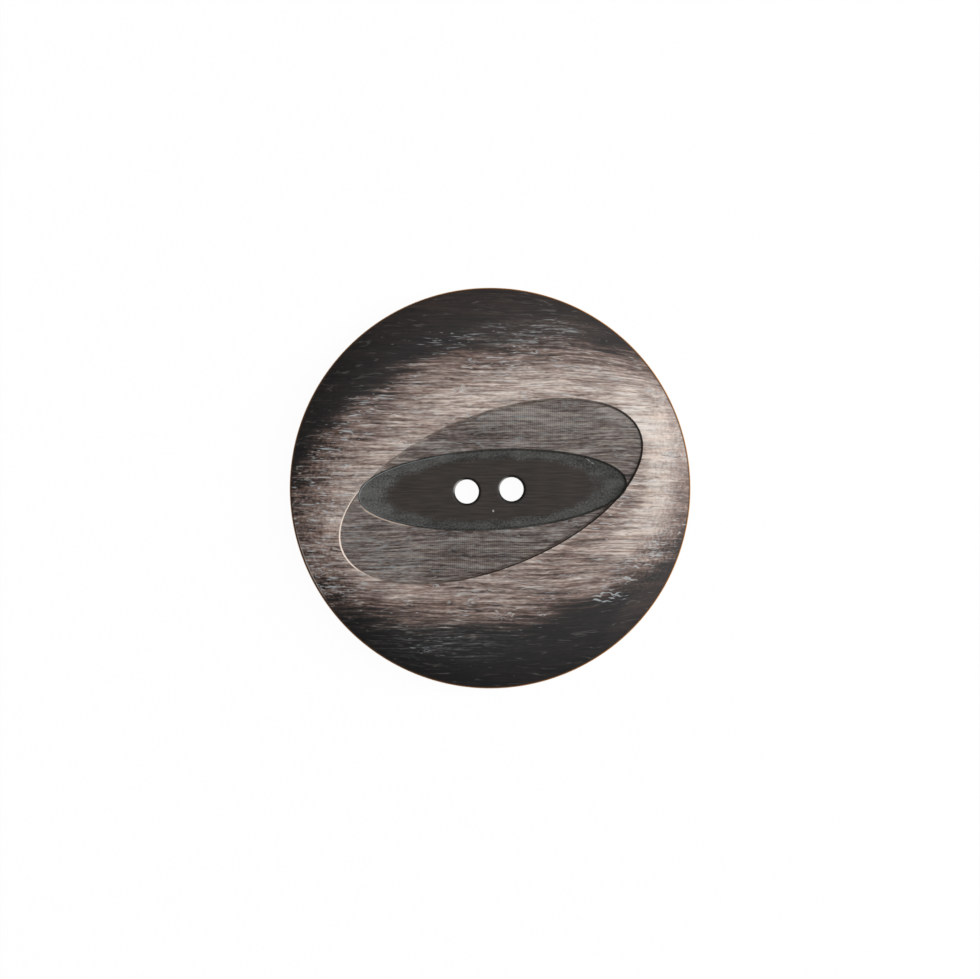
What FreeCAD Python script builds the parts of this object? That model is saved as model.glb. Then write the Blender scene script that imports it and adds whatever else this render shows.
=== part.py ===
import FreeCAD, Part
import math
import os

# A large two-hole coat button, turned and milled from one cast blank of horn-look resin.
# It lies on its flat back at z = 0. The turned disc's axis is Z and the sewing holes lie along X.
# All lengths are in millimetres.

# Turned disc
diameter = 38.1             # 60 ligne, the trade size
thickness = 4.0             # from the back seat to the top of the face before it is milled
seat_radius = 15.5          # flat middle of the back
back_bevel = 9.0            # degrees that the back rises from there to the rim
rim_chamfer = 0.25          # small bevel on the rim's lower edge
edge_round = 0.28           # rounding of the rim's upper edge
face_curve = 400.0          # radius of the slightly domed face
shoulder_width = 3.9        # band inside the rim where the face falls away faster
shoulder_curve = 14.0       # radius of that band

# Slanted oval pocket, milled flat into the domed face
pocket_offset_x = 0.07      # its centre sits a little off the disc axis
pocket_offset_y = -0.31
pocket_half_length = 15.25
pocket_half_width = 7.34
pocket_turn = 18.8          # degrees that the pocket is turned from the line of the holes
pocket_end_depth = 0.30     # depth at its two ends, where it is shallowest
pocket_draft = 33.0         # degrees that its wall leans outwards

# Narrow eye-shaped oval, sunk into the pocket's floor along the line of the holes
eye_offset_x = 0.19
eye_offset_y = -0.16
eye_half_length = 12.82
eye_half_width = 3.88
eye_lip_depth = 0.38        # sloping lip, down from the pocket's floor
eye_lip_draft = 32.0        # degrees that the lip leans outwards
eye_upper_draft = 3.0       # the same above the pocket's floor, where the eye's tips cut its wall
eye_dish_depth = 0.25       # depth of the sloping band below the step
eye_floor_half_length = 10.35
eye_floor_half_width = 2.90

# Sewing holes, drilled through the eye's floor, rounded at the face and countersunk at the back
hole_diameter = 2.30
hole_spacing = 4.29
hole_pair_offset_x = -0.10
hole_pair_offset_y = -0.21
hole_mouth_round = 0.28
hole_countersink = 0.25     # width and depth of the bevel at the back

# How far each cutter reaches past the surface that it opens
cutter_reach = 0.5

radius = diameter / 2
shoulder_start = radius - shoulder_width


def on_circle(centre, size, turn):
    """A point of the section, at an angle in radians from straight up towards the rim."""
    return FreeCAD.Vector(centre[0] + size * math.sin(turn), 0, centre[1] + size * math.cos(turn))


def arc(centre, size, turn_from, turn_to):
    """An arc of the section between two such angles."""
    middle = (turn_from + turn_to) / 2
    ends = [on_circle(centre, size, turn) for turn in (turn_from, middle, turn_to)]
    return Part.Arc(*ends).toShape()


def line(start, end):
    return Part.LineSegment(start, end).toShape()


def shoulder_circle():
    """Centre of the shoulder's arc and the angle where it takes over from the domed face."""
    turn = math.asin(shoulder_start / face_curve)
    reach = face_curve - shoulder_curve
    centre = (reach * math.sin(turn), thickness - face_curve + reach * math.cos(turn))
    return centre, turn


def face_height(distance):
    """Height of the uncut face at a distance from the axis."""
    if distance <= shoulder_start:
        return thickness - face_curve + math.sqrt(face_curve ** 2 - distance ** 2)
    centre, _ = shoulder_circle()
    return centre[1] + math.sqrt(shoulder_curve ** 2 - (distance - centre[0]) ** 2)


def make_blank():
    """The turned disc: one section, swept round the axis. Tangent arcs run from the rim over the face."""
    face_centre = (0, thickness - face_curve)
    shoulder_centre, shoulder_turn = shoulder_circle()
    edge_distance = radius - edge_round

    upper_reach = shoulder_curve - edge_round
    upper_turn = math.asin((edge_distance - shoulder_centre[0]) / upper_reach)
    upper_edge = (edge_distance, shoulder_centre[1] + upper_reach * math.cos(upper_turn))

    bevel_distance = radius - rim_chamfer
    bevel_height = (bevel_distance - seat_radius) * math.tan(math.radians(back_bevel))
    seat_end = FreeCAD.Vector(seat_radius, 0, 0)
    bevel_end = FreeCAD.Vector(bevel_distance, 0, bevel_height)
    side_start = FreeCAD.Vector(radius, 0, bevel_height + rim_chamfer)

    side = math.pi / 2
    bottom = FreeCAD.Vector(0, 0, 0)
    top = FreeCAD.Vector(0, 0, thickness)
    section = [
        line(bottom, seat_end),
        line(seat_end, bevel_end),
        line(bevel_end, side_start),
        line(side_start, on_circle(upper_edge, edge_round, side)),
        arc(upper_edge, edge_round, side, upper_turn),
        arc(shoulder_centre, shoulder_curve, upper_turn, shoulder_turn),
        arc(face_centre, face_curve, shoulder_turn, 0),
        line(top, bottom),
    ]
    outline = Part.Face(Part.Wire(section))
    return outline.revolve(FreeCAD.Vector(0, 0, 0), FreeCAD.Vector(0, 0, 1), 360)


def oval(centre_x, centre_y, half_length, half_width, height):
    """A level oval with its long axis along X."""
    centre = FreeCAD.Vector(centre_x, centre_y, height)
    end = centre + FreeCAD.Vector(half_length, 0, 0)
    side = centre + FreeCAD.Vector(0, half_width, 0)
    return Part.Wire(Part.Ellipse(end, side, centre).toShape())


def make_pocket(floor):
    """Cutter of the slanted pocket: a flat floor and a wall with draft."""
    lean = math.tan(math.radians(pocket_draft))
    top = thickness + cutter_reach
    end_mouth = face_height(pocket_half_length)
    side_mouth = face_height(pocket_half_width)
    rings = []
    for height in (floor, top):
        half_length = pocket_half_length + (height - end_mouth) * lean
        half_width = pocket_half_width + (height - side_mouth) * lean
        rings.append(oval(pocket_offset_x, pocket_offset_y, half_length, half_width, height))
    pocket = Part.makeLoft(rings, True, True)
    centre = FreeCAD.Vector(pocket_offset_x, pocket_offset_y, 0)
    pocket.rotate(centre, FreeCAD.Vector(0, 0, 1), pocket_turn)
    return pocket


def make_eye(pocket_floor, eye_floor):
    """Cutter of the eye: flat floor, gently sloping band, steeper lip, then nearly upright."""
    rings = [oval(eye_offset_x, eye_offset_y, eye_floor_half_length, eye_floor_half_width, eye_floor)]
    levels = [
        (eye_floor + eye_dish_depth, eye_lip_draft),
        (pocket_floor, eye_lip_draft),
        (thickness + cutter_reach, eye_upper_draft),
    ]
    for height, draft in levels:
        growth = (height - pocket_floor) * math.tan(math.radians(draft))
        half_length = eye_half_length + growth
        half_width = eye_half_width + growth
        rings.append(oval(eye_offset_x, eye_offset_y, half_length, half_width, height))
    return Part.makeLoft(rings, True, True)


def make_hole(distance, web):
    """Cutter of one sewing hole through a web of the given thickness."""
    bore = hole_diameter / 2
    mouth = bore + hole_mouth_round
    round_centre = (mouth, web - hole_mouth_round)
    side = -math.pi / 2
    below = -cutter_reach
    above = web + cutter_reach
    flare = bore + hole_countersink - below
    section = [
        line(FreeCAD.Vector(0, 0, below), FreeCAD.Vector(flare, 0, below)),
        line(FreeCAD.Vector(flare, 0, below), FreeCAD.Vector(bore, 0, hole_countersink)),
        line(FreeCAD.Vector(bore, 0, hole_countersink), on_circle(round_centre, hole_mouth_round, side)),
        arc(round_centre, hole_mouth_round, side, 0),
        line(on_circle(round_centre, hole_mouth_round, 0), FreeCAD.Vector(mouth, 0, above)),
        line(FreeCAD.Vector(mouth, 0, above), FreeCAD.Vector(0, 0, above)),
        line(FreeCAD.Vector(0, 0, above), FreeCAD.Vector(0, 0, below)),
    ]
    outline = Part.Face(Part.Wire(section))
    hole = outline.revolve(FreeCAD.Vector(0, 0, 0), FreeCAD.Vector(0, 0, 1), 360)
    hole.translate(FreeCAD.Vector(hole_pair_offset_x + distance, hole_pair_offset_y, 0))
    return hole


def make_button():
    pocket_floor = face_height(pocket_half_length) - pocket_end_depth
    eye_floor = pocket_floor - eye_lip_depth - eye_dish_depth
    cutters = [make_pocket(pocket_floor), make_eye(pocket_floor, eye_floor)]
    for distance in (-hole_spacing / 2, hole_spacing / 2):
        cutters.append(make_hole(distance, eye_floor))
    button = make_blank()
    for cutter in cutters:
        button = button.cut(cutter)
    return button.Solids[0]


os.makedirs("parts", exist_ok=True)
button = make_button()
button.exportStep("parts/button.step")
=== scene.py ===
import math

import bmesh
import bpy
import numpy as np
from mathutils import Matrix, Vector
from mathutils.geometry import delaunay_2d_cdt


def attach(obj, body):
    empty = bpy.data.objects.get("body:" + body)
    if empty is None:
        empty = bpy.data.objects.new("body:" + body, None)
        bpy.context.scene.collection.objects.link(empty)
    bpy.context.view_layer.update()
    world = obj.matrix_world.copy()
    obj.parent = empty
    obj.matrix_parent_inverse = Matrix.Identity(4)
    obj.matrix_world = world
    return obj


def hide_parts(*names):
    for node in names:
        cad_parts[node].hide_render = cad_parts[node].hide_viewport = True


# A two-hole coat button of horn-look resin, lying face up on a white table.
# Sizes are in millimetres in the part's own frame and become metres when a mesh is made.

MM = 0.001

# Section of the turned disc
RADIUS = 19.05
THICKNESS = 4.0
SEAT_RADIUS = 15.5
BACK_BEVEL = math.radians(9.0)
RIM_CHAMFER = 0.25
EDGE_ROUND = 0.28
FACE_CURVE = 400.0
SHOULDER_START = RADIUS - 3.9
SHOULDER_CURVE = 14.0

# The slanted pocket and the eye in its floor
POCKET_CENTRE = (0.07, -0.31)
POCKET_HALF = (15.25, 7.34)
POCKET_TURN = math.radians(18.8)
POCKET_END_DEPTH = 0.30
POCKET_LEAN = math.tan(math.radians(33.0))
EYE_CENTRE = (0.19, -0.16)
EYE_HALF = (12.82, 3.88)
EYE_FLOOR_HALF = (10.35, 2.90)
EYE_LIP_DEPTH = 0.38
EYE_LIP_LEAN = math.tan(math.radians(32.0))
EYE_UPPER_LEAN = math.tan(math.radians(3.0))
EYE_DISH_DEPTH = 0.25

# Sewing holes
BORE = 1.15
MOUTH_ROUND = 0.28
COUNTERSINK = 0.25
HOLE_CENTRES = ((-2.245, -0.21), (2.045, -0.21))

# The streaks and the camera's level line lie this far from the line of the holes
PHOTO_TURN = math.radians(3.0)

# The arc of the shoulder touches the domed face where it takes over
SHOULDER_TURN = math.asin(SHOULDER_START / FACE_CURVE)
SHOULDER_REACH = FACE_CURVE - SHOULDER_CURVE
SHOULDER_CENTRE = (
    SHOULDER_REACH * math.sin(SHOULDER_TURN),
    THICKNESS - FACE_CURVE + SHOULDER_REACH * math.cos(SHOULDER_TURN),
)


def face_height(distance):
    """Height of the uncut face at a distance from the axis."""
    distance = np.asarray(distance, float)
    dome = THICKNESS - FACE_CURVE + np.sqrt(FACE_CURVE ** 2 - distance ** 2)
    run = np.minimum(np.abs(distance - SHOULDER_CENTRE[0]), SHOULDER_CURVE)
    shoulder = SHOULDER_CENTRE[1] + np.sqrt(SHOULDER_CURVE ** 2 - run ** 2)
    return np.where(distance <= SHOULDER_START, dome, shoulder)


# The scene's face lies this much below the CAD's, which keeps its rounded heights inside the CAD's box
HAIR = 0.0001

# Heights of the rim, the floors and the top of the space over the hollows
RIM_HEIGHT = float(face_height(RADIUS))
POCKET_FLOOR = float(face_height(POCKET_HALF[0])) - POCKET_END_DEPTH
EYE_BAND_TOP = POCKET_FLOOR - EYE_LIP_DEPTH
EYE_FLOOR = EYE_BAND_TOP - EYE_DISH_DEPTH
OPEN_TOP = THICKNESS + 0.5


def grown(half, mouths, lean, height):
    """Half length and half width of a leaning oval wall at a height, from the heights of its mouth."""
    return tuple(size + (height - mouth) * lean for size, mouth in zip(half, mouths))


POCKET_MOUTHS = (float(face_height(POCKET_HALF[0])), float(face_height(POCKET_HALF[1])))
POCKET_RINGS = [
    (POCKET_FLOOR, grown(POCKET_HALF, POCKET_MOUTHS, POCKET_LEAN, POCKET_FLOOR)),
    (OPEN_TOP, grown(POCKET_HALF, POCKET_MOUTHS, POCKET_LEAN, OPEN_TOP)),
]
EYE_MOUTHS = (POCKET_FLOOR, POCKET_FLOOR)
EYE_RINGS = [
    (EYE_FLOOR, EYE_FLOOR_HALF),
    (EYE_BAND_TOP, grown(EYE_HALF, EYE_MOUTHS, EYE_LIP_LEAN, EYE_BAND_TOP)),
    (POCKET_FLOOR, EYE_HALF),
    (OPEN_TOP, grown(EYE_HALF, EYE_MOUTHS, EYE_UPPER_LEAN, OPEN_TOP)),
]


def turned(x, y, angle):
    """A point's place in axes that are turned by an angle."""
    return x * math.cos(angle) + y * math.sin(angle), y * math.cos(angle) - x * math.sin(angle)


# A height or an edge is found by halving its range this often. A wall is followed past its last ring.
HALVINGS = 40
WALL_REACH = 3.0


def hollow_height(x, y, rings):
    """Height of a hollow whose wall passes through level ovals, in the hollow's own axes."""
    height = np.full(np.shape(x), rings[0][0], float)
    for (low, small), (high, large) in zip(rings[:-1], rings[1:]):
        outside = (x / small[0]) ** 2 + (y / small[1]) ** 2 > 1
        near, far = np.zeros(np.shape(x)), np.full(np.shape(x), WALL_REACH)
        for _ in range(HALVINGS):
            share = (near + far) / 2
            half_length = small[0] + share * (large[0] - small[0])
            half_width = small[1] + share * (large[1] - small[1])
            beyond = (x / half_length) ** 2 + (y / half_width) ** 2 > 1
            near = np.where(beyond, share, near)
            far = np.where(beyond, far, share)
        height = np.where(outside, low + near * (high - low), height)
    return height


def pocket_height(x, y):
    across = turned(x - POCKET_CENTRE[0], y - POCKET_CENTRE[1], POCKET_TURN)
    return hollow_height(*across, POCKET_RINGS)


def eye_height(x, y):
    return hollow_height(x - EYE_CENTRE[0], y - EYE_CENTRE[1], EYE_RINGS)


def top_height(x, y):
    """Height of the finished face."""
    uncut = face_height(np.hypot(x, y)) - HAIR
    return np.minimum(np.minimum(uncut, pocket_height(x, y)), eye_height(x, y))


def oval_line(centre, half, angle, count):
    """Points of an oval, in the part's frame."""
    turn = np.linspace(0, 2 * math.pi, count, endpoint=False)
    x, y = turned(half[0] * np.cos(turn), half[1] * np.sin(turn), -angle)
    return np.column_stack([x + centre[0], y + centre[1]])


def edge_line(wall, surface, centre, half, angle, count):
    """Plan of the edge where a hollow's wall comes out through a surface, found along rays."""
    start = oval_line(centre, (half[0] * 0.9, half[1] * 0.9), angle, count)
    end = oval_line(centre, (half[0] * 1.2, half[1] * 1.2), angle, count)
    near, far = np.zeros(count), np.ones(count)
    for _ in range(HALVINGS):
        share = (near + far) / 2
        x, y = (start + (end - start) * share[:, None]).T
        below = wall(x, y) < surface(x, y)
        near = np.where(below, share, near)
        far = np.where(below, far, share)
    return start + (end - start) * near[:, None]


def circle_line(centre, radius, count):
    turn = np.linspace(0, 2 * math.pi, count, endpoint=False)
    return np.column_stack([centre[0] + radius * np.cos(turn), centre[1] + radius * np.sin(turn)])


# Points of a sheet that are closer than this become one
MERGE_DISTANCE = 1e-7


class Skin:
    """Vertices and faces of one mesh, gathered piece by piece."""

    def __init__(self):
        self.points = []
        self.faces = []

    def add_points(self, points):
        first = len(self.points)
        self.points.extend(tuple(map(float, point)) for point in points)
        return list(range(first, len(self.points)))

    def ring(self, centre, radius, height, count):
        plan = circle_line(centre, radius, count)
        return self.add_points(np.column_stack([plan, np.full(count, height)]))

    def strip(self, first, second):
        """Quads between two rings of as many points."""
        count = len(first)
        for i in range(count):
            j = (i + 1) % count
            self.faces.append((first[i], first[j], second[j], second[i]))

    def strips(self, rings):
        for first, second in zip(rings[:-1], rings[1:]):
            self.strip(first, second)

    def sheet(self, loops, extra_lines, fill, height, keep):
        """A triangulated sheet. The loops are its borders, whose point numbers are returned."""
        plan, edges, spans = [], [], []
        for line in list(loops) + list(extra_lines):
            first = len(plan)
            plan.extend(line)
            count = len(line)
            edges.extend((first + i, first + (i + 1) % count) for i in range(count))
            spans.append((first, first + count))
        plan.extend(fill)
        vectors = [Vector((float(x), float(y))) for x, y in plan]
        places, _, triangles, origins, _, _ = delaunay_2d_cdt(vectors, edges, [], 0, MERGE_DISTANCE)
        flat = np.array([tuple(v) for v in places])
        numbers = self.add_points(np.column_stack([flat, height(flat[:, 0], flat[:, 1])]))
        middles = np.array([flat[list(face)].mean(axis=0) for face in triangles])
        for face, wanted in zip(triangles, keep(middles[:, 0], middles[:, 1])):
            if wanted:
                self.faces.append(tuple(numbers[i] for i in face))
        where = {}
        for new, olds in enumerate(origins):
            for old in olds:
                where[old] = numbers[new]
        return [[where[i] for i in range(*span)] for span in spans[: len(loops)]]


def hex_grid(reach, spacing):
    """Evenly spread points that cover a circle."""
    row = spacing * math.sqrt(3) / 2
    points = []
    for j in range(-int(reach / row), int(reach / row) + 1):
        shift = spacing / 2 if j % 2 else 0.0
        for i in range(-int(reach / spacing) - 1, int(reach / spacing) + 1):
            points.append((i * spacing + shift, j * row))
    return np.array(points)


# The distances are worked out in this many blocks, to spare memory
BLOCKS = 40


def away_from(points, lines, gap):
    """The points that keep a gap from every line."""
    marks = np.concatenate(lines)
    kept = []
    for block in np.array_split(points, BLOCKS):
        apart = block[:, None, :] - marks[None, :, :]
        distance = np.hypot(apart[..., 0], apart[..., 1])
        kept.append(block[distance.min(axis=1) > gap])
    return np.concatenate(kept)


# Points round each line of the mesh and steps round each rounded edge
RIM_POINTS = 720
HOLE_POINTS = 96
POCKET_POINTS = 1000
EYE_POINTS = 800
EYE_FLOOR_POINTS = 600
EDGE_STEPS = 8
MOUTH_STEPS = 8

# Spacing of the face's points, and the gaps that they keep from the rim, the holes and the lines
FACE_SPACING = 0.32
RIM_GAP = 0.12
HOLE_GAP = 0.08
LINE_GAP = 0.09

# The same for the back seat, which is flat
SEAT_SPACING = 1.2
SEAT_GAP = 0.3

# A second line runs just inside the top of the eye's lip
LIP_INSET = 0.02

# Triangles whose middle is inside a hole are left out, with a hair's allowance for its straight sides
HOLE_SHARE = 0.9995

# The upper round of the rim starts where the shoulder ends and is tangent to it
EDGE_DISTANCE = RADIUS - EDGE_ROUND
EDGE_REACH = SHOULDER_CURVE - EDGE_ROUND
EDGE_TURN = math.asin((EDGE_DISTANCE - SHOULDER_CENTRE[0]) / EDGE_REACH)
EDGE_HEIGHT = SHOULDER_CENTRE[1] + EDGE_REACH * math.cos(EDGE_TURN)
RIM_TOP = EDGE_DISTANCE + EDGE_ROUND * math.sin(EDGE_TURN)
BEVEL_WIDTH = RADIUS - RIM_CHAMFER - SEAT_RADIUS
BEVEL_HEIGHT = BEVEL_WIDTH * math.tan(BACK_BEVEL)


def outside_holes(points, hole_radius):
    """The points that are further than a radius from the centre of each hole."""
    for centre in HOLE_CENTRES:
        points = points[np.hypot(points[:, 0] - centre[0], points[:, 1] - centre[1]) > hole_radius]
    return points


def disc_with_holes(disc_radius, hole_radius):
    """A test of which points lie on a disc that has the two holes."""
    def wanted(x, y):
        inside = np.hypot(x, y) < disc_radius
        for centre in HOLE_CENTRES:
            inside &= np.hypot(x - centre[0], y - centre[1]) > hole_radius * HOLE_SHARE
        return inside
    return wanted


def uncut_height(x, y):
    return face_height(np.hypot(x, y))


def around_eye_height(x, y):
    """Height of the face with its pocket, before the eye is cut."""
    return np.minimum(uncut_height(x, y), pocket_height(x, y))


def hollow_lines():
    """Lines along every edge and wall foot of the hollows."""
    lip_inset = (EYE_HALF[0] - LIP_INSET, EYE_HALF[1] - LIP_INSET)
    return [
        edge_line(pocket_height, uncut_height, POCKET_CENTRE, POCKET_HALF, POCKET_TURN, POCKET_POINTS),
        oval_line(POCKET_CENTRE, POCKET_RINGS[0][1], POCKET_TURN, POCKET_POINTS),
        edge_line(eye_height, around_eye_height, EYE_CENTRE, EYE_HALF, 0.0, EYE_POINTS),
        oval_line(EYE_CENTRE, lip_inset, 0.0, EYE_POINTS),
        oval_line(EYE_CENTRE, EYE_RINGS[1][1], 0.0, EYE_POINTS),
        oval_line(EYE_CENTRE, EYE_RINGS[0][1], 0.0, EYE_FLOOR_POINTS),
    ]


def add_face(skin):
    """The finished face. Returns the rings at the rim and at the mouths of the holes."""
    mouth_radius = BORE + MOUTH_ROUND
    rim = circle_line((0, 0), RIM_TOP, RIM_POINTS)
    mouths = [circle_line(centre, mouth_radius, HOLE_POINTS) for centre in HOLE_CENTRES]
    lines = hollow_lines()
    fill = hex_grid(RIM_TOP, FACE_SPACING)
    fill = fill[np.hypot(fill[:, 0], fill[:, 1]) < RIM_TOP - RIM_GAP]
    fill = outside_holes(fill, mouth_radius + HOLE_GAP)
    fill = away_from(fill, lines, LINE_GAP)
    wanted = disc_with_holes(RIM_TOP, mouth_radius)
    rim_ring, *mouth_rings = skin.sheet([rim] + mouths, lines, fill, top_height, wanted)
    return rim_ring, mouth_rings


def add_seat(skin):
    """The flat back. Returns the rings at its border and at the countersinks."""
    sink_radius = BORE + COUNTERSINK
    border = circle_line((0, 0), SEAT_RADIUS, RIM_POINTS)
    sinks = [circle_line(centre, sink_radius, HOLE_POINTS) for centre in HOLE_CENTRES]
    fill = hex_grid(SEAT_RADIUS, SEAT_SPACING)
    fill = fill[np.hypot(fill[:, 0], fill[:, 1]) < SEAT_RADIUS - SEAT_GAP]
    fill = outside_holes(fill, sink_radius + SEAT_GAP)
    wanted = disc_with_holes(SEAT_RADIUS, sink_radius)
    seat_ring, *sink_rings = skin.sheet([border] + sinks, [], fill, lambda x, y: x * 0.0, wanted)
    return seat_ring, sink_rings


def add_rim(skin, rim_ring, seat_ring):
    """The rim's upper round, side and lower chamfer, and the bevel of the back."""
    rings = [rim_ring]
    for step in range(1, EDGE_STEPS + 1):
        turn = EDGE_TURN + (math.pi / 2 - EDGE_TURN) * step / EDGE_STEPS
        distance = EDGE_DISTANCE + EDGE_ROUND * math.sin(turn)
        height = EDGE_HEIGHT + EDGE_ROUND * math.cos(turn)
        rings.append(skin.ring((0, 0), distance, height, RIM_POINTS))
    side_foot = BEVEL_HEIGHT + RIM_CHAMFER
    for share in (0.75, 0.5, 0.25, 0.0):
        height = side_foot + (EDGE_HEIGHT - side_foot) * share
        rings.append(skin.ring((0, 0), RADIUS, height, RIM_POINTS))
    for share in (1.0, 0.66, 0.33):
        distance = SEAT_RADIUS + BEVEL_WIDTH * share
        rings.append(skin.ring((0, 0), distance, BEVEL_HEIGHT * share, RIM_POINTS))
    rings.append(seat_ring)
    skin.strips(rings)


def add_hole(skin, centre, mouth_ring, sink_ring):
    """The rounded mouth, the wall and the countersink of one hole."""
    rings = [mouth_ring]
    for step in range(1, MOUTH_STEPS + 1):
        turn = math.pi / 2 * step / MOUTH_STEPS
        distance = BORE + MOUTH_ROUND * (1 - math.sin(turn))
        height = EYE_FLOOR - MOUTH_ROUND * (1 - math.cos(turn))
        rings.append(skin.ring(centre, distance, height, HOLE_POINTS))
    wall_height = EYE_FLOOR - MOUTH_ROUND - COUNTERSINK
    for share in (0.66, 0.33, 0.0):
        rings.append(skin.ring(centre, BORE, COUNTERSINK + wall_height * share, HOLE_POINTS))
    rings.append(sink_ring)
    skin.strips(rings)


def make_button():
    skin = Skin()
    rim_ring, mouth_rings = add_face(skin)
    seat_ring, sink_rings = add_seat(skin)
    add_rim(skin, rim_ring, seat_ring)
    for centre, mouth_ring, sink_ring in zip(HOLE_CENTRES, mouth_rings, sink_rings):
        add_hole(skin, centre, mouth_ring, sink_ring)
    return skin


# Edges with a greater turn than this stay sharp in the smooth shading
SHARP_TURN = math.radians(14)


def make_object(name, skin, material):
    """The object of a skin, without loose points and with its faces turned outwards."""
    mesh = bpy.data.meshes.new(name)
    mesh.from_pydata([tuple(c * MM for c in point) for point in skin.points], [], skin.faces)
    mesh.validate()
    made = bpy.data.objects.new(name, mesh)
    bpy.context.scene.collection.objects.link(made)
    work = bmesh.new()
    work.from_mesh(mesh)
    loose = [v for v in work.verts if not v.link_faces]
    bmesh.ops.delete(work, geom=loose, context="VERTS")
    bmesh.ops.recalc_face_normals(work, faces=work.faces)
    work.to_mesh(mesh)
    work.free()
    mesh.shade_smooth()
    mesh.set_sharp_from_angle(angle=SHARP_TURN)
    mesh.materials.append(material)
    return made


class Graph:
    """Short calls for the nodes of one material. Numbers are set on sockets and outputs are linked."""

    def __init__(self, material):
        material.use_nodes = True
        self.tree = material.node_tree
        self.shader = self.tree.nodes["Principled BSDF"]

    def feed(self, socket, value):
        if isinstance(value, bpy.types.NodeSocket):
            self.tree.links.new(value, socket)
        else:
            socket.default_value = value

    def node(self, kind, inputs=(), **settings):
        made = self.tree.nodes.new(kind)
        for name, value in settings.items():
            setattr(made, name, value)
        for name, value in dict(inputs).items():
            self.feed(made.inputs[name], value)
        return made

    def math(self, operation, first, second=0.0, third=0.0, clamp=False):
        inputs = {0: first, 1: second, 2: third}
        return self.node("ShaderNodeMath", inputs, operation=operation, use_clamp=clamp).outputs[0]

    def add(self, *terms):
        total = terms[0]
        for term in terms[1:]:
            total = self.math("ADD", total, term)
        return total

    def times(self, *terms):
        total = terms[0]
        for term in terms[1:]:
            total = self.math("MULTIPLY", total, term)
        return total

    def step(self, value, low, high, start=0.0, end=1.0):
        """Smooth step from start to end as the value goes from low to high."""
        inputs = {"Value": value, "From Min": low, "From Max": high, "To Min": start, "To Max": end}
        return self.node("ShaderNodeMapRange", inputs, interpolation_type="SMOOTHSTEP").outputs[0]

    def vector(self, x, y, z=0.0):
        return self.node("ShaderNodeCombineXYZ", {0: x, 1: y, 2: z}).outputs[0]

    def noise(self, x, y, z, detail=2.0, roughness=0.5, lacunarity=2.0):
        """Noise about zero, one feature to a unit of its coordinates."""
        inputs = {
            "Vector": self.vector(x, y, z), "Scale": 1.0, "Detail": detail,
            "Roughness": roughness, "Lacunarity": lacunarity,
        }
        out = self.node("ShaderNodeTexNoise", inputs, noise_dimensions="3D").outputs["Fac"]
        return self.math("SUBTRACT", out, 0.5)

    def mix(self, share, first, second, kind="MIX"):
        """Two colours mixed: the share is that of the second."""
        made = self.node("ShaderNodeMix", data_type="RGBA", blend_type=kind)
        self.feed(made.inputs["Factor"], share)
        for socket, value in ((made.inputs[6], first), (made.inputs[7], second)):
            self.feed(socket, value if isinstance(value, bpy.types.NodeSocket) else (*value, 1.0))
        return made.outputs[2]

    def curve(self, value, points, low, high):
        """A smooth curve through a few points, for values from low to high and results from 0 to 1."""
        made = self.node("ShaderNodeFloatCurve")
        share = self.node(
            "ShaderNodeMapRange", {"Value": value, "From Min": low, "From Max": high}
        ).outputs[0]
        self.feed(made.inputs["Value"], share)
        knots = made.mapping.curves[0].points
        for number, (x, y) in enumerate(points):
            place = ((x - low) / (high - low), y)
            if number < 2:
                knots[number].location = place
            else:
                knots.new(*place)
        made.mapping.update()
        return made.outputs[0]

    def ramp(self, value, stops):
        """Colours at a few places from 0 to 1, and plain mixes between them."""
        made = self.node("ShaderNodeValToRGB", {"Fac": value})
        elements = made.color_ramp.elements
        for place, _ in stops[len(elements):]:
            elements.new(place)
        for element, (place, colour) in zip(elements, stops):
            element.position = place
            element.color = (*colour, 1.0)
        return made.outputs[0]


def srgb(red, green, blue):
    """A colour given as it looks on screen, 0 to 255, as linear light."""
    shares = [value / 255 for value in (red, green, blue)]
    return tuple(s / 12.92 if s <= 0.04045 else ((s + 0.055) / 1.055) ** 2.4 for s in shares)


# Edges of the pale field: places along the streaks and across them, in millimetres from the disc's centre
FIELD_SPAN = 19.05
FIELD_TOP = (
    (-19.05, 0.5), (-16.1, 4.8), (-11.4, 8.5), (-5.7, 12.3), (-1.5, 13.1), (5.0, 13.8),
    (11.0, 12.8), (14.5, 11.5), (19.05, 8.2),
)
FIELD_FOOT = (
    (-19.05, -9.5), (-14.2, -11.0), (-8.5, -12.4), (-1.0, -12.7), (4.0, -12.3),
    (7.5, -10.4), (10.5, -9.6), (13.0, -7.8), (16.0, -6.1), (19.05, -4.4),
)

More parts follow.
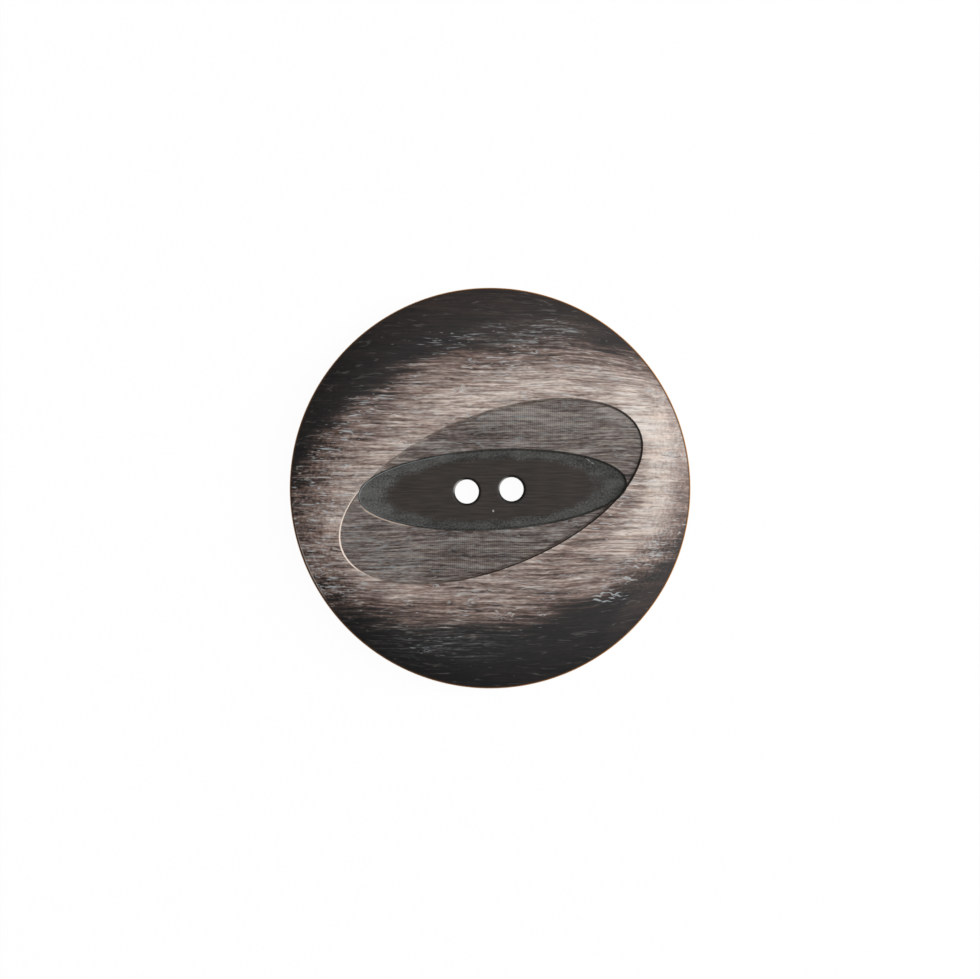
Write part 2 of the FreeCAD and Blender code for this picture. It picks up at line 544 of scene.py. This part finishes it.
# Paler and darker clouds inside and beside the field, one of them a painted sheen: middle, half sizes, slant
# and strength
CLOUDS = (
    ((5.0, 14.8), (8.0, 2.0), 0.0, 0.10), ((6.0, 9.8), (9.0, 2.2), 0.0, 0.09),
    ((-3.5, 9.0), (7.5, 2.8), 0.0, 0.14), ((-7.8, 9.2), (4.0, 1.3), 0.1, -0.18),
    ((-12.2, 5.1), (2.6, 1.0), 0.0, -0.18), ((-12.4, 7.1), (3.0, 0.9), 0.0, 0.11),
    ((-10.4, 7.8), (2.2, 1.1), 0.0, -0.14), ((-14.5, -1.5), (5.0, 2.6), 0.0, 0.05),
    ((-13.0, -9.8), (4.2, 2.2), 0.0, -0.17), ((-17.3, -6.8), (3.0, 3.6), 0.0, 0.12),
    ((-9.5, -8.7), (5.0, 2.0), 0.0, 0.12), ((0.0, -9.9), (6.5, 1.2), 0.0, 0.08),
    ((8.5, -5.6), (5.5, 1.8), 0.75, -0.14), ((13.2, 0.8), (2.4, 4.2), 0.3, -0.15),
    ((12.4, -2.2), (3.0, 1.5), 0.3, -0.18), ((16.0, 1.5), (1.8, 6.5), 0.0, 0.09),
    ((13.4, -4.9), (3.4, 2.0), 0.4, 0.21), ((9.8, -8.8), (3.2, 1.5), 0.2, 0.10),
    # The second cloud on the next line, at (14.2, -11.0), is a painted sheen: a lighter band just inside the
    # rim at the lower right
    ((10.6, -6.3), (2.4, 1.0), 0.2, -0.16), ((14.2, -11.0), (5.0, 2.4), 1.1, 0.09),
    ((13.6, 7.6), (2.8, 2.4), -1.2, 0.14), ((-2.6, 7.7), (3.6, 1.0), 0.05, 0.11),
    ((1.0, 11.8), (4.2, 0.8), 0.0, -0.13), ((4.4, 9.7), (3.6, 1.3), 0.0, 0.08),
    ((5.8, -6.5), (2.8, 0.9), 0.5, -0.12), ((12.9, -3.4), (3.0, 2.2), 0.3, 0.06),
    ((17.2, -4.6), (2.2, 2.4), 0.3, -0.08), ((-14.6, 2.7), (3.4, 0.9), 0.0, -0.09),
    ((9.5, -3.9), (2.6, 1.0), 0.7, -0.10), ((15.0, -1.0), (2.0, 1.2), 0.0, 0.13),
    ((-2.8, -11.4), (2.4, 0.7), 0.0, -0.10), ((-4.0, 12.2), (2.4, 0.9), 0.0, 0.10),
    ((14.2, -7.7), (2.4, 1.3), 0.3, 0.15), ((17.0, -5.4), (1.8, 1.2), 0.4, 0.08),
    ((5.6, -10.9), (3.4, 1.1), 0.3, -0.12), ((-14.2, 5.7), (1.6, 0.9), 0.0, -0.12),
)

# The same on the pocket's floor alone
FLOOR_CLOUDS = (
    ((4.0, 6.6), (8.0, 1.8), 0.0, 0.16), ((9.6, -4.4), (4.5, 2.8), 0.5, -0.15),
    ((-1.4, 5.4), (4.2, 0.9), 0.1, -0.15), ((3.4, 6.6), (3.8, 1.1), 0.0, 0.15),
    ((12.9, 3.6), (2.2, 3.4), 0.0, -0.09),
)

# Places where more or fewer flakes lie, in the same terms
FLAKE_CROWDS = (
    ((3.8, 14.6), (7.0, 1.8), 0.0, 0.10), ((-11.0, 8.6), (5.0, 2.4), 0.6, 0.07),
    ((14.6, -7.4), (5.0, 2.6), 0.7, 0.09), ((-5.0, -15.0), (7.0, 2.0), 0.0, 0.09),
    ((-5.5, 14.2), (7.0, 1.2), 0.0, 0.06), ((12.0, -13.0), (8.0, 6.0), 0.6, -0.12),
    ((-8.0, -6.0), (7.0, 4.0), 0.0, 0.05), ((1.0, 5.4), (7.0, 2.5), 0.0, 0.06),
)

# Spacing of the milling marks in the pocket
HATCH_PITCH = 0.19

# The dark floor of the eye is painted a little wider than its flat
EYE_DARK_HALF = (10.35, 3.05)


class Horn(Graph):
    """The finish of the button: each method lays one part of it over the colour so far.

    x, y and z are places in the part's frame, u and v the same along and across the streaks, all in
    millimetres. Shares, masks and tones go from 0 to 1, and noises lie about zero.
    """

    def __init__(self, material):
        super().__init__(material)
        self.find_places()
        self.find_surfaces()
        self.lay_streaks()
        self.lay_field()
        self.lay_tone()
        self.colour_tone()
        self.add_curls()
        self.add_flakes()
        self.mill_pocket()
        self.fill_eye()
        self.cut_holes()
        self.add_scuffs()
        self.edge_rim()
        self.finish_shader()

    def cover(self, share, colour):
        """Lays a colour over the surface, where the share is above 0."""
        self.colour = self.mix(share, self.colour, colour)

    def largest(self, first, second):
        return self.math("MAXIMUM", first, second)

    def less(self, first, second):
        return self.math("SUBTRACT", first, second)

    def size_of(self, value):
        return self.math("ABSOLUTE", value)

    def oval_reach(self, centre, half, angle):
        """Distance from an oval's centre as a share of its edge."""
        dx = self.less(self.x, centre[0])
        dy = self.less(self.y, centre[1])
        cos, sin = math.cos(angle), math.sin(angle)
        along = self.add(self.times(dx, cos / half[0]), self.times(dy, sin / half[0]))
        across = self.add(self.times(dy, cos / half[1]), self.times(dx, -sin / half[1]))
        return self.math("SQRT", self.add(self.times(along, along), self.times(across, across)))

    def spot(self, middle, half, slant=0.0):
        """A soft patch along the streaks: one in its middle, nothing beyond its half sizes."""
        aside = self.less(self.u, middle[0])
        du = self.times(aside, 1 / half[0])
        dv = self.less(self.less(self.v, middle[1]), self.times(aside, slant))
        dv = self.times(dv, 1 / half[1])
        return self.step(self.add(self.times(du, du), self.times(dv, dv)), 1.0, 0.0)

    def spots(self, patches):
        """The sum of several soft patches, each with a strength."""
        return self.add(*[self.times(self.spot(*patch), amount) for *patch, amount in patches])

    def level_noise(self, along, over, seed, *settings):
        """Noise in the plane alone, with its features to a millimetre along and across the streaks."""
        return self.noise(self.times(self.u, along), self.times(self.v, over), seed, *settings)

    def strand_noise(self, along, over, seed, *settings):
        """The same in axes that bend with the strands."""
        return self.noise(self.times(self.u, along), self.times(self.across, over), seed, *settings)

    def find_places(self):
        local = self.node("ShaderNodeTexCoord").outputs["Object"]
        inputs = {0: local, 3: 1 / MM}
        place = self.node("ShaderNodeVectorMath", inputs, operation="SCALE").outputs[0]
        inputs = {"Vector": place, "Angle": PHOTO_TURN}
        level = self.node("ShaderNodeVectorRotate", inputs, rotation_type="Z_AXIS").outputs[0]
        self.x, self.y, self.z = self.node("ShaderNodeSeparateXYZ", {0: place}).outputs
        self.u, self.v, self.w = self.node("ShaderNodeSeparateXYZ", {0: level}).outputs
        self.radius = self.math("SQRT", self.add(self.times(self.x, self.x), self.times(self.y, self.y)))

    def find_surfaces(self):
        """Masks of the pocket's floor and wall. The back is in none of them."""
        foot_share = self.oval_reach(POCKET_CENTRE, POCKET_RINGS[0][1], POCKET_TURN)
        self.mouth_share = self.oval_reach(POCKET_CENTRE, POCKET_HALF, POCKET_TURN)
        self.on_face = self.step(self.z, EYE_FLOOR - 0.8, EYE_FLOOR - 0.4)
        self.on_floor = self.times(self.step(foot_share, 1.004, 1.0), self.on_face)
        in_mouth = self.step(self.mouth_share, 1.001, 0.998)
        self.on_wall = self.times(in_mouth, self.on_face, self.less(1.0, self.on_floor))

    def lay_streaks(self):
        """Strands of many lengths that wander a little, with knots here and there."""
        g, u, v, w = self, self.u, self.v, self.w
        sway = g.level_noise(0.12, 0.30, g.times(w, 0.3), 1.0)
        self.ripple = g.level_noise(0.75, 1.5, g.times(w, 0.9), 1.0)
        knot = g.level_noise(1.7, 2.6, g.add(g.times(w, 0.9), 5.0), 1.0)
        self.knotty = g.step(g.level_noise(0.45, 0.8, 3.0, 1.0), 0.10, 0.24, 0.03, 0.60)

        # The strands bend towards the right end of the field, above it and below it
        beyond = g.largest(g.add(u, -6.0), 0.0)
        bend = g.add(g.step(v, 6.0, 13.0, 0.0, 0.014), g.step(v, -4.0, -11.0, 0.0, -0.010))
        arch = g.times(beyond, beyond, bend)
        wander = g.add(g.times(sway, 0.7), g.times(self.ripple, 0.09), g.times(knot, self.knotty))
        self.across = g.add(v, arch, wander)
        self.seed = g.times(w, 2.0)

        self.strand = g.strand_noise(0.22, 6.2, self.seed, 1.0, 0.6)
        lens = g.strand_noise(0.5, 4.4, g.add(self.seed, 9.0), 2.0, 0.6)
        self.fleck = g.strand_noise(1.9, 6.8, g.add(self.seed, 17.0), 1.0, 0.5)
        blotch = g.strand_noise(3.4, 3.2, g.add(self.seed, 27.0), 2.0, 0.6)

        # At both ends and at the lower right the strands give way to blotches
        self.far_left = g.step(u, -10.5, -15.5)
        far_right = g.step(u, 13.5, 16.0)
        self.mottled = g.spot((14.4, -7.6), (4.6, 3.6), 0.7)
        threads = g.add(g.times(self.strand, 0.80), g.times(lens, 0.62), g.times(self.fleck, 0.42))
        threads = g.times(threads, g.step(self.far_left, 0.0, 1.0, 1.0, 0.7))
        threads = g.times(threads, g.step(far_right, 0.0, 1.0, 1.0, 0.35))
        threads = g.times(threads, g.add(1.0, g.times(self.on_floor, 0.35)))
        threads = g.times(threads, g.step(self.mottled, 0.0, 1.0, 1.0, 0.6))
        blotches = [(self.far_left, 0.6), (far_right, 0.45), (self.mottled, 0.7)]
        self.fine = g.add(threads, *[g.times(blotch, mask, amount) for mask, amount in blotches])

    def field_edge(self, points):
        """Place across the streaks of one edge of the pale field."""
        reach = 2 * FIELD_SPAN
        scaled = [(along, far / reach + 0.5) for along, far in points]
        share = self.curve(self.u, scaled, -FIELD_SPAN, FIELD_SPAN)
        return self.times(self.less(share, 0.5), reach)

    def lay_field(self):
        """The pale field, with feathered edges that are wider at the lower right."""
        g, u, v, w = self, self.u, self.v, self.w
        wide = g.strand_noise(0.09, 0.55, g.times(w, 0.3), 2.0, 0.5)
        thin = g.strand_noise(0.22, 3.2, g.times(w, 0.8), 3.0, 0.62)
        feather = g.add(g.times(wide, 4.0), g.times(thin, 4.6))
        self.feather = g.times(feather, g.step(u, 8.0, 14.0, 1.0, 0.6))
        under_top = g.less(g.field_edge(FIELD_TOP), v)
        over_foot = g.times(g.less(v, g.field_edge(FIELD_FOOT)), g.step(u, 8.0, 13.0, 1.0, 0.62))
        self.depth = g.add(g.math("MINIMUM", under_top, over_foot), self.feather)
        self.pale = g.step(self.depth, -1.8, 1.6)

    def lay_tone(self):
        """How pale the horn is: the field, its ends, the clouds, the wisps and the streaks."""
        g, u, v = self, self.u, self.v
        rise = g.times(g.step(self.depth, 0.0, 6.5), 0.20)
        left_fade = g.step(g.add(u, g.times(self.feather, 1.2)), -20.5, -12.5, 0.22, 1.0)
        right_gain = g.times(g.step(u, 5.0, 15.5), 0.22)
        right_fade = g.step(g.add(u, g.times(self.feather, 0.5)), 16.3, 18.8, 0.0, 0.22)
        right_fade = g.times(right_fade, g.step(v, 4.0, 0.0, 0.6, 1.3))
        field = g.add(0.44, rise, right_gain, g.times(right_fade, -1.0))
        tone = g.add(0.065, g.times(self.pale, left_fade, field), g.spots(CLOUDS))
        tone = g.add(tone, g.times(self.on_floor, g.spots(FLOOR_CLOUDS)))
        tone = g.add(tone, g.step(v, 12.5, 18.0, 0.0, 0.07), g.step(v, -10.0, -14.0, 0.0, -0.05))

        # Wisps in the dark horn above and below the field
        self.wisp = g.largest(g.add(self.strand, g.times(self.fleck, 0.4)), 0.0)
        wisps_below = g.spot((-4.0, -14.4), (8.5, 2.5))
        self.wispy = g.largest(g.spot((3.8, 14.6), (7.2, 1.7)), g.times(wisps_below, 0.35))
        tone = g.add(tone, g.times(self.wisp, g.largest(self.wispy, wisps_below), 0.32))

        broad = g.strand_noise(0.16, 1.3, g.times(self.w, 0.6), 2.0, 0.55)
        beside = g.times(self.mottled, g.less(1.0, self.pale), 0.35)
        swing = g.add(0.23, g.times(self.pale, 0.97), beside)
        self.tone = g.add(tone, g.times(g.add(self.fine, g.times(broad, 0.5)), swing))

    def fibres(self, lines, half, pieces, high, seed):
        """Thin sharp fibres along the strands, broken into pieces."""
        line = self.strand_noise(*lines, self.add(self.seed, seed), 1.0, 0.5)
        piece = self.strand_noise(*pieces, self.add(self.seed, seed + 3.0), 1.0)
        return self.times(self.step(self.size_of(line), half, 0.0), self.step(piece, 0.0, high))

    def colour_tone(self):
        """Colours of the tone, a cooler or warmer tint in the field, and fibres of three kinds."""
        g, pale = self, self.pale
        self.colour = g.ramp(g.times(self.tone, 0.8), (
            (0.0, srgb(6, 5, 5)),
            (0.096, srgb(36, 30, 28)),
            (0.2, srgb(62, 49, 44)),
            (0.4, srgb(118, 99, 92)),
            (0.6, srgb(163, 147, 139)),
            (0.8, srgb(212, 198, 188)),
            (1.0, srgb(236, 225, 216)),
        ))
        tint = g.strand_noise(0.35, 2.6, g.add(self.seed, 70.0), 2.0, 0.6)
        cool_to_warm = ((0.0, srgb(244, 251, 255)), (1.0, srgb(255, 248, 243)))
        tint = g.ramp(g.add(0.5, g.times(tint, 2.4)), cool_to_warm)
        g.cover(g.times(pale, 0.9), g.mix(1.0, self.colour, tint, "MULTIPLY"))

        pale_fibre = g.fibres((0.24, 2.4), 0.035, (0.55, 3.0), 0.14, 40.0)
        brown_fibre = g.fibres((0.20, 2.2), 0.038, (0.45, 2.6), 0.14, 50.0)
        wisp_fibre = g.fibres((0.18, 3.4), 0.030, (0.22, 2.6), 0.12, 60.0)
        g.cover(g.times(brown_fibre, pale, 0.62), srgb(82, 58, 49))
        g.cover(g.times(pale_fibre, g.step(pale, 0.0, 1.0, 0.08, 0.60)), srgb(206, 202, 197))
        wisps = g.largest(g.times(wisp_fibre, 0.5), g.step(self.wisp, 0.02, 0.30, 0.0, 0.55))
        g.cover(g.times(wisps, self.wispy), srgb(140, 150, 154))

        # One brown knot at the left
        g.cover(g.times(g.spot((-14.4, 5.55), (0.55, 0.6)), 0.75), srgb(80, 56, 42))

    def add_curls(self):
        """Pale curls where the strands wind round a knot, and a group of hooks at the lower right."""
        g = self
        curl = g.level_noise(1.5, 2.4, 61.0, 1.0, 0.5)
        curl = g.times(g.step(g.size_of(curl), 0.045, 0.0), g.step(self.knotty, 0.15, 0.5), self.pale, 0.8)
        along, over = g.add(self.u, 1.3), g.add(self.v, -0.14)
        warp = g.noise(g.times(along, 1.3), g.times(over, 1.6), 46.0, 1.0, 0.5)
        over = g.add(over, g.times(warp, 0.8))
        shreds = g.noise(g.times(along, 0.8), g.times(over, 4.8), 33.0, 0.0)
        beside = g.times(g.spot((13.8, -7.6), (3.0, 2.2), 0.6), 0.4)
        cluster = g.largest(g.spot((11.0, -10.0), (2.5, 1.0), -0.05), beside)
        hook = g.times(g.step(shreds, 0.09, 0.19), g.step(cluster, 0.05, 0.5))
        g.cover(g.times(g.largest(curl, hook), 0.7), srgb(186, 192, 194))

    def add_flakes(self):
        """Blue-white flakes, in crowds and near the field."""
        g, w = self, self.w
        patch = g.level_noise(0.22, 0.55, 7.3, 1.0)
        near_field = g.step(self.depth, -3.5, 0.0, -0.10, 0.0)
        in_field = g.add(g.times(self.pale, 0.01), g.times(self.far_left, self.pale, 0.05))
        crowd = g.add(g.times(patch, 0.22), near_field, in_field, g.spots(FLAKE_CROWDS))
        sliver = g.strand_noise(0.55, 5.8, g.times(w, 3.0), 1.0, 0.5)
        flake = g.strand_noise(1.5, 7.5, g.add(w, 51.0), 1.0, 0.5)
        slivers = g.step(g.add(sliver, crowd), 0.16, 0.34)
        flakes = g.step(g.add(flake, crowd), 0.20, 0.32)
        share = g.step(self.pale, 0.0, 1.0, 0.34, 0.75)
        g.cover(g.times(g.largest(slivers, flakes), share), srgb(190, 196, 198))

    def mill_pocket(self):
        """The milled pocket: greyer and darker, with fine marks on its floor, a pale end-grain edge with a
        painted highlight at its left end, and painted shade on its lower right wall.
        """
        g, u, v = self, self.u, self.v
        milled = g.mix(1.0, self.colour, srgb(174, 176, 178), "MULTIPLY")
        g.cover(g.largest(self.on_floor, g.times(self.on_wall, 0.7)), milled)
        hatch = g.math("SINE", g.times(g.add(u, g.times(self.ripple, 0.1)), 2 * math.pi / HATCH_PITCH))
        hatch = g.add(0.5, g.times(hatch, 0.5))
        hatched = g.largest(g.spot((5.0, 6.4), (8.5, 3.0)), g.spot((-1.0, -6.4), (8.0, 3.2)))
        g.cover(g.times(hatch, hatched, self.on_floor, 0.42), srgb(44, 36, 32))

        # The wall at the left end is dark at its foot and pale at its edge: the pale edge is partly end
        # grain and partly a painted highlight where this end faces the lamp
        end_grain = g.step(u, -10.0, -13.5, 0.1, 1.0)
        g.cover(g.times(self.on_wall, end_grain, 0.6), srgb(66, 52, 44))
        pale_edge_and_highlight = g.step(self.mouth_share, 0.9895, 0.9935)
        g.cover(g.times(self.on_wall, end_grain, pale_edge_and_highlight), srgb(228, 212, 200))

        # Painted shade on the wall's side that faces away from the lamp, towards the lower right
        lower_right = g.step(g.add(u, g.times(v, -0.9)), 1.0, 8.0, 0.0, 0.85)
        painted_wall_shade = g.times(lower_right, g.step(self.mouth_share, 0.980, 0.986))
        g.cover(g.times(self.on_wall, painted_wall_shade), srgb(34, 27, 23))

    def fill_eye(self):
        """The eye: a speckled blue-grey band round a charcoal floor, and painted highlights on its lip."""
        g, u, v, z = self, self.u, self.v, self.z
        eye_share = g.oval_reach(EYE_CENTRE, EYE_HALF, 0.0)
        below_pocket = g.step(z, POCKET_FLOOR - 0.03, POCKET_FLOOR - 0.13)
        in_eye = g.times(g.step(eye_share, 1.003, 0.997), self.on_face, below_pocket)
        speck = g.level_noise(5.6, 5.6, 2.0, 1.0, 0.6)
        cloudy = g.level_noise(0.5, 1.2, 12.0, 2.0, 0.6)
        powder = g.add(g.times(speck, 1.7), g.times(cloudy, 1.3), g.spots((
            ((-12.6, -0.3), (2.2, 2.4), 0.0, 0.08),
            ((11.3, -0.6), (2.4, 3.0), 0.0, 0.05),
            ((-5.0, -3.2), (7.0, 1.4), 0.0, -0.22),
        )))
        band = g.ramp(g.add(0.5, powder), ((0.0, srgb(36, 36, 35)), (1.0, srgb(90, 90, 88))))
        scratch = g.times(g.level_noise(0.45, 6.0, 4.0, 2.0, 0.5), 2.6)
        charcoal = g.ramp(g.add(0.5, scratch), ((0.0, srgb(30, 24, 20)), (1.0, srgb(54, 46, 41))))
        dark_share = g.oval_reach(EYE_CENTRE, EYE_DARK_HALF, 0.0)
        dark_share = g.add(dark_share, g.times(speck, 0.14), g.times(cloudy, 0.18))
        eye = g.mix(g.step(dark_share, 1.08, 0.90), band, charcoal)

        # A painted glint along the foot of the lip, at the left, where the lip is lit
        foot = g.times(
            g.step(z, EYE_BAND_TOP, EYE_BAND_TOP + 0.03),
            g.step(z, EYE_BAND_TOP + 0.15, EYE_BAND_TOP + 0.08),
        )
        foot = g.times(foot, g.step(u, -2.5, -6.0), g.step(v, -1.0, 0.5, 0.25, 0.8))
        g.cover(in_eye, g.mix(foot, eye, srgb(150, 158, 160)))

        # A painted highlight beside the lip, at the lower left, where the lip faces the lamp
        beside_lip = g.times(g.step(eye_share, 1.018, 1.008), self.on_face, g.less(1.0, in_eye))
        lip_end = g.times(g.step(u, -7.0, -8.5), g.step(v, -1.6, -2.2))
        g.cover(g.times(beside_lip, lip_end, 0.8), srgb(190, 172, 158))

    def from_holes(self):
        """Distance from the nearer hole's centre."""
        here = self.vector(self.x, self.y)
        distances = []
        for centre in HOLE_CENTRES:
            inputs = {0: here, 1: (*centre, 0.0)}
            made = self.node("ShaderNodeVectorMath", inputs, operation="DISTANCE")
            distances.append(made.outputs["Value"])
        return self.math("MINIMUM", *distances)

    def cut_holes(self):
        """A dark ring round each hole's mouth, and a painted highlight on the mouths and walls at the upper
        left, the side that faces the lamp.
        """
        g = self
        from_hole = g.from_holes()
        g.cover(g.times(g.step(from_hole, BORE + 0.26, BORE + 0.16), 0.85), srgb(20, 15, 13))
        # Painted highlight where the holes' mouths and walls face the lamp, at the upper left
        level_centres = [turned(*centre, -PHOTO_TURN) for centre in HOLE_CENTRES]
        lit = g.largest(*[g.spot((u - 1.0, v + 0.75), (0.9, 1.1)) for u, v in level_centres])
        lit = g.times(lit, g.step(self.z, EYE_FLOOR - 0.5, EYE_FLOOR - 0.3))
        g.cover(g.times(g.step(from_hole, BORE + 0.20, BORE), lit, 0.8), srgb(190, 187, 184))

    def add_scuffs(self):
        """One pale speck under the holes and two small scuffs by the eye's upper right lip."""
        g = self
        speck = g.step(g.spot((0.30, -2.17), (0.11, 0.14)), 0.0, 0.5)
        scuff = g.largest(g.spot((9.35, 2.65), (0.28, 0.06), -0.8), g.spot((9.75, 2.38), (0.20, 0.06), -0.4))
        g.cover(g.times(g.largest(speck, scuff), self.on_face, 0.6), srgb(186, 186, 184))

    def edge_rim(self):
        """The rim's upper edge: brown, then amber that is partly the resin's colour and partly painted glow
        of light through the thin edge, and a painted highlight line inside it at the lower left.
        """
        g = self
        near_top = g.step(self.z, RIM_HEIGHT - 0.5, RIM_HEIGHT - 0.1)
        brown = g.times(g.step(self.radius, RADIUS - 0.24, RADIUS - 0.12), near_top)
        g.cover(g.times(brown, 0.92), srgb(60, 36, 20))
        # Amber: partly the resin's own colour, partly painted glow of light shining through the thin edge
        amber = g.times(g.step(self.radius, RADIUS - 0.10, RADIUS - 0.03), near_top)
        g.cover(g.times(amber, 0.9), srgb(205, 138, 40))
        # Painted highlight: a pale line on the rim's round at the lower left
        ring = g.step(g.size_of(g.add(self.radius, -18.82)), 0.07, 0.02)
        g.cover(g.times(ring, g.spot((-17.2, -7.5), (2.6, 5.6)), 0.6), srgb(186, 176, 170))

    def finish_shader(self):
        """A satin surface, a little rougher where it is streaked or milled, with a fine grain."""
        g = self
        sockets = self.shader.inputs
        g.feed(sockets["Base Color"], self.colour)
        g.feed(sockets["Roughness"], g.add(0.58, g.times(self.fine, 0.1), g.times(self.on_floor, 0.05)))
        grain = g.noise(g.times(self.x, 9.0), g.times(self.y, 9.0), g.times(self.z, 9.0), 2.0, 0.6)
        bump = g.node("ShaderNodeBump", {"Strength": 0.15, "Distance": 0.00002, "Height": grain})
        g.feed(sockets["Normal"], bump.outputs[0])
        sockets["IOR"].default_value = 1.5
        sockets["Specular IOR Level"].default_value = 0.37


def horn_material():
    material = bpy.data.materials.new("horn_resin")
    Horn(material)
    return material


def table_material():
    """White to the eye and through glossy or clear things, and plain white cloth to all other light."""
    material = bpy.data.materials.new("table_white")
    g = Graph(material)
    g.shader.inputs["Base Color"].default_value = (0.95, 0.95, 0.95, 1)
    g.shader.inputs["Roughness"].default_value = 1.0
    g.shader.inputs["Specular IOR Level"].default_value = 0.0
    rays = g.node("ShaderNodeLightPath").outputs
    seen = g.math("MAXIMUM", rays["Is Camera Ray"], rays["Is Glossy Ray"])
    seen = g.math("MAXIMUM", seen, rays["Is Transmission Ray"])
    glow = g.node("ShaderNodeEmission", {"Color": (1, 1, 1, 1), "Strength": 1.0})
    inputs = {0: g.times(seen, TABLE_GLOW), 1: g.shader.outputs[0], 2: glow.outputs[0]}
    both = g.node("ShaderNodeMixShader", inputs)
    g.feed(g.tree.nodes["Material Output"].inputs["Surface"], both.outputs[0])
    return material


# The table is square. The camera sees it white, at this brightness.
TABLE_HALF = 0.6
TABLE_GLOW = 0.97


def make_table():
    mesh = bpy.data.meshes.new("table")
    corners = [(-1, -1), (1, -1), (1, 1), (-1, 1)]
    mesh.from_pydata([(x * TABLE_HALF, y * TABLE_HALF, 0) for x, y in corners], [], [(0, 1, 2, 3)])
    mesh.materials.append(table_material())
    table = bpy.data.objects.new("table", mesh)
    bpy.context.scene.collection.objects.link(table)
    return table


# One wide lamp stands to the right, and an even world fills the shade. Lamp sizes are in metres.
WORLD_STRENGTH = 0.2
KEY_ENERGY = 4.7
KEY_SIZE = (0.2, 0.8)
KEY_DISTANCE = 0.6
KEY_LEAN = math.radians(45.0)
KEY_SIDE = math.radians(5.0)


def make_light():
    world = bpy.data.worlds.new("studio")
    bpy.context.scene.world = world
    world.use_nodes = True
    background = world.node_tree.nodes["Background"].inputs
    background["Color"].default_value = (1, 1, 1, 1)
    background["Strength"].default_value = WORLD_STRENGTH

    lamp = bpy.data.lights.new("key", "AREA")
    lamp.energy = KEY_ENERGY
    lamp.shape = "RECTANGLE"
    lamp.size, lamp.size_y = KEY_SIZE
    key = bpy.data.objects.new("key", lamp)
    aside = KEY_DISTANCE * math.sin(KEY_LEAN)
    key.location = (
        aside * math.cos(KEY_SIDE),
        aside * math.sin(KEY_SIDE),
        KEY_DISTANCE * math.cos(KEY_LEAN),
    )
    key.rotation_euler = Vector(key.location).to_track_quat("Z", "Y").to_euler()
    bpy.context.scene.collection.objects.link(key)


# The disc is this wide in a frame of this width, both in pixels
DISC_PIXELS = 401.0
FRAME_PIXELS = 980

# Lens and sensor in millimetres, and the camera's offset from the disc's centre in level axes
LENS = 100
SENSOR = 36
CAMERA_SHIFT = (-0.01, -0.13)

# Height in metres of the level that the frame's scale is true for
SCALE_LEVEL = 0.003


def make_camera():
    """Camera straight above, turned so that the photo's level lies along the streaks."""
    data = bpy.data.cameras.new("camera")
    data.lens = LENS
    data.sensor_width = SENSOR
    camera = bpy.data.objects.new("camera", data)
    view_width = FRAME_PIXELS * 2 * RADIUS / DISC_PIXELS * MM
    x, y = turned(*CAMERA_SHIFT, PHOTO_TURN)
    camera.location = (x * MM, y * MM, view_width * LENS / SENSOR + SCALE_LEVEL)
    camera.rotation_euler = (0, 0, -PHOTO_TURN)
    bpy.context.scene.collection.objects.link(camera)
    bpy.context.scene.camera = camera


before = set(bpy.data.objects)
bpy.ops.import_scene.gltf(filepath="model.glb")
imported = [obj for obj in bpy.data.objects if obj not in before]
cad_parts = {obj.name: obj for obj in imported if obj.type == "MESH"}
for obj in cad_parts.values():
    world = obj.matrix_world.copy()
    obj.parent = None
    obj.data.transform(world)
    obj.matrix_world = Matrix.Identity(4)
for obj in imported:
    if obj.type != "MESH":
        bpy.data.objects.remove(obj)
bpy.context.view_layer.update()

button = make_object("button_body", make_button(), horn_material())
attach(button, "root")
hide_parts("button")

floor = make_table()
make_light()
make_camera()
bpy.context.scene.view_settings.view_transform = "Standard"
